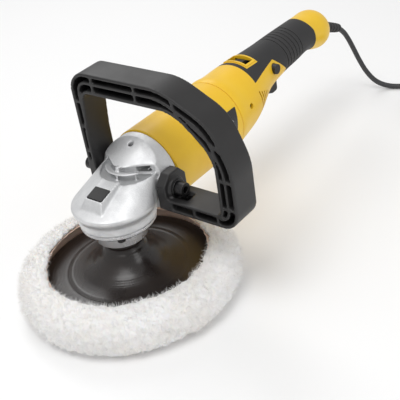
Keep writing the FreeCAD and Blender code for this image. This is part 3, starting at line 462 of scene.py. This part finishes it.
# which CAD nodes carry each finish
coats = {
    "yellowPlastic": ["motor_housing", "rear_shell_left", "rear_shell_right"],
    "blackPlastic": ["d_handle", "lock_button", "lock_on_button", "trigger", "speed_dial", "switch_module",
                     "cord_clamp", "coil_tie"],
    "blackRubber": ["grip_left", "grip_right", "strain_relief", "mains_plug"],
    "castAluminium": ["gear_housing"],
    "machinedAluminium": ["bearing_flange"],
    "steelBright": ["spindle", "crown_gear", "gear_nut", "pinion_gear", "pinion_nut", "armature_shaft",
                    "lock_pin", "lock_spring", "gear_housing_screws", "pad_insert", "trigger_pin"],
    "steelBlack": ["flange_screws", "top_screw", "handle_bolts", "handle_washers", "shell_screws"],
    "bearingSteel": ["spindle_bearing", "front_bearing", "rear_bearing"],
    "laminations": ["armature_core", "stator_core"],
    "copperWire": ["armature_windings", "field_windings"],
    "segments": ["commutator"],
    "brassDrawn": ["spindle_bush", "brush_holders", "plug_pins"],
    "carbonBlock": ["carbon_brushes"],
    "paleNylon": ["cooling_fan", "air_baffle"],
    "boardGreen": ["speed_control_board"],
    "plateBlack": ["nameplate_left", "nameplate_right"],
    "cordSheath": ["inner_lead"],
    "padRubber": ["backing_pad"],
    "woolPile": ["wool_bonnet"],
    "suedeHide": ["bonnet_hide"],
}


def giveMaterial(piece, name):
    piece.data.materials.clear()
    piece.data.materials.append(made[name])


for finish, names in coats.items():
    for name in names:
        giveMaterial(nodes[name], finish)
giveMaterial(mainsCord, "cordSheath")
bare = sorted(set(nodes) - {n for names in coats.values() for n in names} - {"power_cord", "cord_coil"})
for name in ("power_cord", "cord_coil"):
    giveMaterial(nodes[name], "cordSheath")
print("finishes given, nodes without one:", bare)


# softened copies of the moulded and cast parts, with small radii on every edge
softened = {
    "gear_housing": {"piece": "castHead", "voxel": 0.00085, "smooth": 3, "triangles": 190000,
                     "finish": "castAluminium", "slot": "cast_aluminium"},
    "d_handle": {"piece": "sideHandle", "voxel": 0.00095, "smooth": 3, "triangles": 190000,
                 "finish": "blackPlastic", "slot": "black_plastic"},
}


def mergedCopy(name):
    mesh = nodes[name].data.copy()
    work = bmesh.new()
    work.from_mesh(mesh)
    bmesh.ops.remove_doubles(work, verts=work.verts, dist=1e-6)
    work.to_mesh(mesh)
    work.free()
    return mesh


def plainMesh(piece):
    shown = bpy.context.evaluated_depsgraph_get()
    mesh = bpy.data.meshes.new_from_object(piece.evaluated_get(shown))
    old = piece.data
    piece.modifiers.clear()
    piece.data = mesh
    bpy.data.meshes.remove(old)
    return mesh


def softenPart(name, values):
    piece = bpy.data.objects.new(values["piece"], mergedCopy(name))
    scene.collection.objects.link(piece)
    remesh = piece.modifiers.new("remesh", "REMESH")
    remesh.mode, remesh.voxel_size = "VOXEL", values["voxel"] * 1
    remesh.use_smooth_shade = True
    smooth = piece.modifiers.new("smooth", "SMOOTH")
    smooth.factor, smooth.iterations = 0.5, values["smooth"]
    mesh = plainMesh(piece)
    count = sum(len(p.vertices) - 2 for p in mesh.polygons)
    if count > values["triangles"]:
        thin = piece.modifiers.new("thin", "DECIMATE")
        thin.ratio = values["triangles"] / count
        mesh = plainMesh(piece)
    for polygon in mesh.polygons:
        polygon.use_smooth = True
    giveMaterial(piece, values["finish"])
    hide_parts(name)
    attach(piece, "housing")
    print(values["piece"], "softened:", count, "to", len(mesh.polygons), "faces")
    return piece


for name, values in softened.items():
    softenPart(name, values)


# turned pieces: a profile of (radius, height) points in millimetres, carried round the spindle's axis
def curvedProfile(points, spacing):
    # smooth line through the points, with even steps
    line = []
    padded = [points[0]] + list(points) + [points[-1]]
    for a, b, c, d in zip(padded, padded[1:], padded[2:], padded[3:]):
        for k in range(12):
            t = k / 12
            line.append([0.5 * (2 * b[i] + (c[i] - a[i]) * t + (2 * a[i] - 5 * b[i] + 4 * c[i] - d[i]) * t * t
                                + (3 * b[i] - a[i] - 3 * c[i] + d[i]) * t ** 3) for i in (0, 1)])
    line.append(list(points[-1]))
    line = np.array(line)
    along = np.concatenate([[0], np.cumsum(np.hypot(*np.diff(line, axis=0).T))])
    even = np.linspace(0, along[-1], max(2, int(along[-1] / spacing)) + 1)
    return np.column_stack([np.interp(even, along, line[:, 0]), np.interp(even, along, line[:, 1])])


def turnedPiece(name, profile, steps, shape, closed=False):
    # profile in millimetres; shape(radius, height, angle, index) moves each point
    places, rings = [], []
    for index, (r, z) in enumerate(profile):
        if r < 1e-4:
            rings.append([len(places)] * steps)
            places.append((0, 0, z / 1000))
            continue
        rings.append(list(range(len(places), len(places) + steps)))
        for k in range(steps):
            angle = 2 * math.pi * k / steps
            rr, zz = shape(r, z, angle, index)
            places.append((rr * math.cos(angle) / 1000, rr * math.sin(angle) / 1000, zz / 1000))
    faces = []
    for low, high in list(zip(rings, rings[1:])) + ([(rings[-1], rings[0])] if closed else []):
        for k in range(steps):
            n = (k + 1) % steps
            face = list(dict.fromkeys((low[k], low[n], high[n], high[k])))
            if len(face) > 2:
                faces.append(face)
    mesh = bpy.data.meshes.new(name)
    mesh.from_pydata(places, [], faces)
    work = bmesh.new()
    work.from_mesh(mesh)
    bmesh.ops.recalc_face_normals(work, faces=work.faces)
    work.to_mesh(mesh)
    work.free()
    for polygon in mesh.polygons:
        polygon.use_smooth = True
    piece = bpy.data.objects.new(name, mesh)
    scene.collection.objects.link(piece)
    return piece


# backing pad: low dish with a raised ring, a fine step and a moulded hub
pad = {
    "profile": [(83, 13.5), (86, 14.7), (87, 17), (87, 21.5), (85.6, 24), (82, 25.3), (77.4, 25.9),
                (76.4, 26.25), (75.4, 26.1), (72, 26.5), (64, 27.3), (60.4, 27.55), (59.6, 27.9),
                (58.2, 28.15), (56.4, 28.6), (55.2, 28.55), (54.2, 28.7), (50, 29.5), (44, 31.1), (38, 33.8),
                (34, 36), (30, 39.2), (26, 43.2), (23.4, 47), (21.3, 50.4), (19.6, 52), (19, 53), (18.9, 54),
                (17.7, 54.6), (17.6, 55.2), (18.8, 55.8), (19, 57), (19, 58.8), (18.2, 59.8), (17, 60),
                (12.2, 60)],
    "steps": 256,
    "waver": 0.22,        # mm, hand-moulded unevenness
}


def makePad(values):
    top = curvedProfile(values["profile"], 0.9)
    under = [(12.2, 38), (30, 37), (30, 33.6), (20, 13.6), (40, 13.5), (62, 13.5)]
    profile = np.vstack([top, under])

    def uneven(r, z, angle, index):
        soft = values["waver"] * min(1, max(0, (r - 25) / 30)) if z < 30 or r > 40 else 0
        at = Vector((math.cos(angle) * r / 30, math.sin(angle) * r / 30, 3.1))
        return r, z + (soft * noise.noise(at) if z > 15 else 0)

    piece = turnedPiece("rubberPad", profile, values["steps"], uneven, closed=True)
    giveMaterial(piece, "padRubber")
    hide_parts("backing_pad")
    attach(piece, "spindle")
    return piece


makePad(pad)
print("backing pad made")


# bonnet: a skin gathered under a drawn lip, with thick clipped wool on its outside
bonnet = {
    "skin": [(0, 12.05), (60, 12.05), (85.4, 12.1), (88.5, 13.9), (89.35, 17), (89.35, 22.4), (87.0, 30.3),
             (83.2, 34.6), (79.4, 38.4)],
    "skinThickness": 1.35,
    "gathers": 46,
    "wool": [(84, 0.3), (93, 0.6), (99, 1.6), (104, 4.6), (107, 9.5), (108.4, 17), (107.8, 25), (104.4, 32.5),
             (98.6, 38), (91.5, 41.2), (85.5, 42.2), (81.2, 41.6), (79.0, 39.9), (79.6, 38.8)],
    "woolInside": [(83.6, 34.8), (87.3, 30.6), (89.6, 22.5), (89.6, 17), (88.7, 13.8), (85.4, 11.9),
                   (60, 11.85), (0, 11.85)],
    "woolUnder": [(0, 0.2), (30, 0.2), (60, 0.2), (76, 0.25)],
    "steps": 620,
    "lock": 7.5,          # mm across a lock of wool
    "lockHeight": 2.3,
    "lump": 1.7,
    "lipFrom": 0.82,      # share of the outline after which the lip is ragged
    "seed": 4.7,
}


def makeSkin(values):
    outer = curvedProfile(values["skin"], 2.2)
    thick = values["skinThickness"]
    way = np.gradient(outer, axis=0)
    way /= np.hypot(*way.T)[:, None]
    inner = outer + np.column_stack([-way[:, 1], way[:, 0]]) * thick
    inner[:, 0] = np.maximum(inner[:, 0], 0)
    profile = np.vstack([outer, inner[::-1]])

    def gathered(r, z, angle, index):
        drawn = max(0, min(1, (z - 24) / 14))
        wave = math.sin(values["gathers"] * angle + 2.2 * math.sin(3 * angle))
        return r + 0.32 * drawn * wave, z

    piece = turnedPiece("bonnetSkin", profile, 368, gathered)
    giveMaterial(piece, "suedeHide")
    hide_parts("bonnet_hide")
    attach(piece, "spindle")
    return piece


def makeWoolBase(values):
    outside = curvedProfile(values["wool"], 1.25)
    profile = np.vstack([values["woolUnder"], outside, values["woolInside"]])
    first, count = len(values["woolUnder"]), len(outside)
    way = np.gradient(profile, axis=0)
    way /= np.maximum(np.hypot(*way.T), 1e-6)[:, None]
    out = np.column_stack([way[:, 1], -way[:, 0]])
    seed, lock = values["seed"], values["lock"]

    def fleecy(r, z, angle, index):
        if not first <= index < first + count:
            return r, z
        share = (index - first) / (count - 1)
        weight = min(1, share * 7) * min(1, (1 - share) * 9 + 0.15)
        at = Vector((r * math.cos(angle), r * math.sin(angle), z))
        bent = at + 2.4 * noise.noise_vector(at / 11 + Vector((seed, 0, 0)))
        near = noise.voronoi(bent / lock, distance_metric="DISTANCE")[0]
        tuft = values["lockHeight"] * (0.75 - near[0]) + 0.9 * (near[1] - near[0] - 0.3)
        lump = values["lump"] * noise.noise(at / 26 + Vector((0, seed, 0)))
        fine = 0.55 * noise.noise(at / 2.2) + 0.35 * noise.noise(at / 1.1)
        move = weight * (tuft + lump + fine - 0.6)
        if z < 6:
            move = min(move, 1.0)
        ragged = 0
        if share > values["lipFrom"]:
            wide, narrow = (Vector((n * math.cos(angle), n * math.sin(angle), offset))
                            for n, offset in ((5, seed), (19, 1)))
            ragged = 2.6 * noise.noise(wide) + 2.2 * noise.noise(narrow)
        return (r + out[index, 0] * move + ragged * (share - values["lipFrom"]) * 5,
                max(0.15, z + out[index, 1] * move))

    piece = turnedPiece("woolBonnet", profile, values["steps"], fleecy)
    pile = piece.data.attributes.new("pile", "FLOAT", "POINT")
    amount = np.zeros(len(piece.data.vertices), np.float32)
    start = 1 + (len(values["woolUnder"]) - 1) * values["steps"]
    amount[start + 3 * values["steps"]:start + (count - 1) * values["steps"]] = 1
    for vertex in piece.data.vertices:
        if vertex.co.z < 0.0062:
            amount[vertex.index] = 0
    pile.data.foreach_set("value", amount)
    return piece


def addNode(tree, kind, **inputs):
    node = tree.nodes.new(kind)
    for label, value in inputs.items():
        socket = node.inputs[label.replace("_", " ")]
        if isinstance(value, bpy.types.NodeSocket):
            tree.links.new(value, socket)
        else:
            socket.default_value = value
    return node


def shapeTree(name, sizes):
    tree = bpy.data.node_groups.new(name, "GeometryNodeTree")
    tree.interface.new_socket(name="Geometry", in_out="INPUT", socket_type="NodeSocketGeometry")
    keys = {}
    for label, kind, value in sizes:
        socket = tree.interface.new_socket(name=label, in_out="INPUT", socket_type=kind)
        if value is not None:
            socket.default_value = value
        keys[label] = socket.identifier
    tree.interface.new_socket(name="Geometry", in_out="OUTPUT", socket_type="NodeSocketGeometry")
    return tree, tree.nodes.new("NodeGroupInput"), tree.nodes.new("NodeGroupOutput"), keys


def finishTree(tree, geometry, material, out):
    real = addNode(tree, "GeometryNodeRealizeInstances", Geometry=geometry)
    coat = addNode(tree, "GeometryNodeSetMaterial", Geometry=real.outputs[0], Material=material)
    tree.links.new(coat.outputs[0], out.inputs[0])


def runTree(piece, tree, keys, **settings):
    step = piece.modifiers.new(tree.name, "NODES")
    step.node_group = tree
    for label, value in settings.items():
        step[keys[label]] = value
    return plainMesh(piece)


def makeFibreTree():
    # short curved fibres that stand out of the fleece, thickest at the root
    tree, given, out, keys = shapeTree("woolFibres", [
        ("Density", "NodeSocketFloat", 300000.0), ("Length", "NodeSocketFloat", 0.004),
        ("Root", "NodeSocketFloat", 0.0004), ("Lean", "NodeSocketFloat", 0.7), ("Seed", "NodeSocketInt", 3),
        ("Material", "NodeSocketMaterial", None)])
    pile = addNode(tree, "GeometryNodeInputNamedAttribute", Name="pile")
    chosen = addNode(tree, "FunctionNodeCompare")
    chosen.data_type, chosen.operation = "FLOAT", "GREATER_THAN"
    tree.links.new(pile.outputs["Attribute"], chosen.inputs[0])
    chosen.inputs[1].default_value = 0.5
    points = addNode(tree, "GeometryNodeDistributePointsOnFaces", Mesh=given.outputs["Geometry"],
                     Selection=chosen.outputs["Result"], Density=given.outputs["Density"],
                     Seed=given.outputs["Seed"])
    fibre = addNode(tree, "GeometryNodeMeshCone", Vertices=3, Radius_Bottom=given.outputs["Root"],
                    Depth=given.outputs["Length"])
    fibre.fill_type = "NONE"
    fibre.inputs["Side Segments"].default_value = 2
    fibre.inputs["Radius Top"].default_value = 0.00006
    place = addNode(tree, "GeometryNodeInputPosition")
    split = addNode(tree, "ShaderNodeSeparateXYZ", Vector=place.outputs[0])
    share = addMath(tree, "DIVIDE", split.outputs["Z"], given.outputs["Length"])
    curl = addMath(tree, "MULTIPLY", addMath(tree, "MULTIPLY", share, share),
                   addMath(tree, "MULTIPLY", given.outputs["Length"], 0.45))
    side = addNode(tree, "ShaderNodeCombineXYZ", X=curl)
    bent = addNode(tree, "GeometryNodeSetPosition", Geometry=fibre.outputs["Mesh"], Offset=side.outputs[0])
    lean = addNode(tree, "FunctionNodeRandomValue")
    lean.data_type = "FLOAT_VECTOR"
    low = addNode(tree, "ShaderNodeCombineXYZ", X=addMath(tree, "MULTIPLY", given.outputs["Lean"], -1.0),
                  Y=addMath(tree, "MULTIPLY", given.outputs["Lean"], -1.0))
    high = addNode(tree, "ShaderNodeCombineXYZ", X=given.outputs["Lean"], Y=given.outputs["Lean"])
    high.inputs["Z"].default_value = 6.28
    tree.links.new(low.outputs[0], lean.inputs["Min"])
    tree.links.new(high.outputs[0], lean.inputs["Max"])
    tree.links.new(given.outputs["Seed"], lean.inputs["Seed"])
    turn = addNode(tree, "FunctionNodeEulerToRotation", Euler=lean.outputs[0])
    facing = addNode(tree, "FunctionNodeRotateRotation", Rotation=points.outputs["Rotation"],
                     Rotate_By=turn.outputs[0])
    facing.rotation_space = "LOCAL"
    size = addNode(tree, "FunctionNodeRandomValue")
    size.data_type = "FLOAT"
    size.inputs[2].default_value, size.inputs[3].default_value = 0.45, 1.1
    tree.links.new(given.outputs["Seed"], size.inputs["Seed"])
    copies = addNode(tree, "GeometryNodeInstanceOnPoints", Points=points.outputs["Points"],
                     Instance=bent.outputs[0], Rotation=facing.outputs[0], Scale=size.outputs[1])
    finishTree(tree, copies.outputs[0], given.outputs["Material"], out)
    return tree, keys


fibres = {"Density": 300000.0, "Length": 0.0042, "Root": 0.00030, "Lean": 0.6, "Seed": 11}


def dressWool(base, values):
    piece = bpy.data.objects.new("woolFibres", base.data.copy())
    scene.collection.objects.link(piece)
    tree, keys = makeFibreTree()
    mesh = runTree(piece, tree, keys, **values, Material=made["woolPile"])
    giveMaterial(piece, "woolPile")
    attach(piece, "spindle")
    print("wool fibres:", len(mesh.polygons), "faces")
    return piece


makeSkin(bonnet)
woolBase = makeWoolBase(bonnet)
giveMaterial(woolBase, "woolPile")
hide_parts("wool_bonnet")
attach(woolBase, "spindle")
dressWool(woolBase, fibres)
print("bonnet made")


# plain pale floor and soft studio light
studio = {
    "floor": 4.0,
    "floorTone": (0.93, 0.93, 0.93),
    "world": 0.62,
    "lamps": [
        {"name": "keyLamp", "place": (-0.5, -0.1, 1.5), "aim": (0.1, 0, 0.05), "size": 0.9, "power": 9},
        {"name": "backLamp", "place": (0.7, 0.9, 1.2), "aim": (0.1, 0, 0.05), "size": 0.8, "power": 5},
        {"name": "sideLamp", "place": (0.1, -1.5, 0.9), "aim": (0.15, 0, 0.08), "size": 0.8, "power": 3},
    ],
}


def setStudio(values):
    half = values["floor"] / 2
    mesh = bpy.data.meshes.new("floor")
    corners = [(-half, -half, 0), (half, -half, 0), (half, half, 0), (-half, half, 0)]
    mesh.from_pydata(corners, [], [(0, 1, 2, 3)])
    floor = bpy.data.objects.new("floor", mesh)
    scene.collection.objects.link(floor)
    material = bpy.data.materials.new("paleFloor")
    material.use_nodes = True
    shader = material.node_tree.nodes["Principled BSDF"]
    shader.inputs["Base Color"].default_value = (*values["floorTone"], 1)
    shader.inputs["Roughness"].default_value = 0.55
    mesh.materials.append(material)
    world = bpy.data.worlds.new("studio")
    world.use_nodes = True
    sky = world.node_tree.nodes["Background"]
    sky.inputs["Color"].default_value = (1, 1, 1, 1)
    sky.inputs["Strength"].default_value = values["world"]
    scene.world = world
    for lamp in values["lamps"]:
        data = bpy.data.lights.new(lamp["name"], "AREA")
        data.shape, data.size, data.energy = "DISK", lamp["size"], lamp["power"]
        light = bpy.data.objects.new(lamp["name"], data)
        light.location = lamp["place"]
        towards = Vector(lamp["aim"]) - Vector(lamp["place"])
        light.rotation_euler = towards.to_track_quat("-Z", "Y").to_euler()
        scene.collection.objects.link(light)
    scene.view_settings.view_transform = "Standard"
    scene.view_settings.look = "None"


setStudio(studio)
print("studio set")
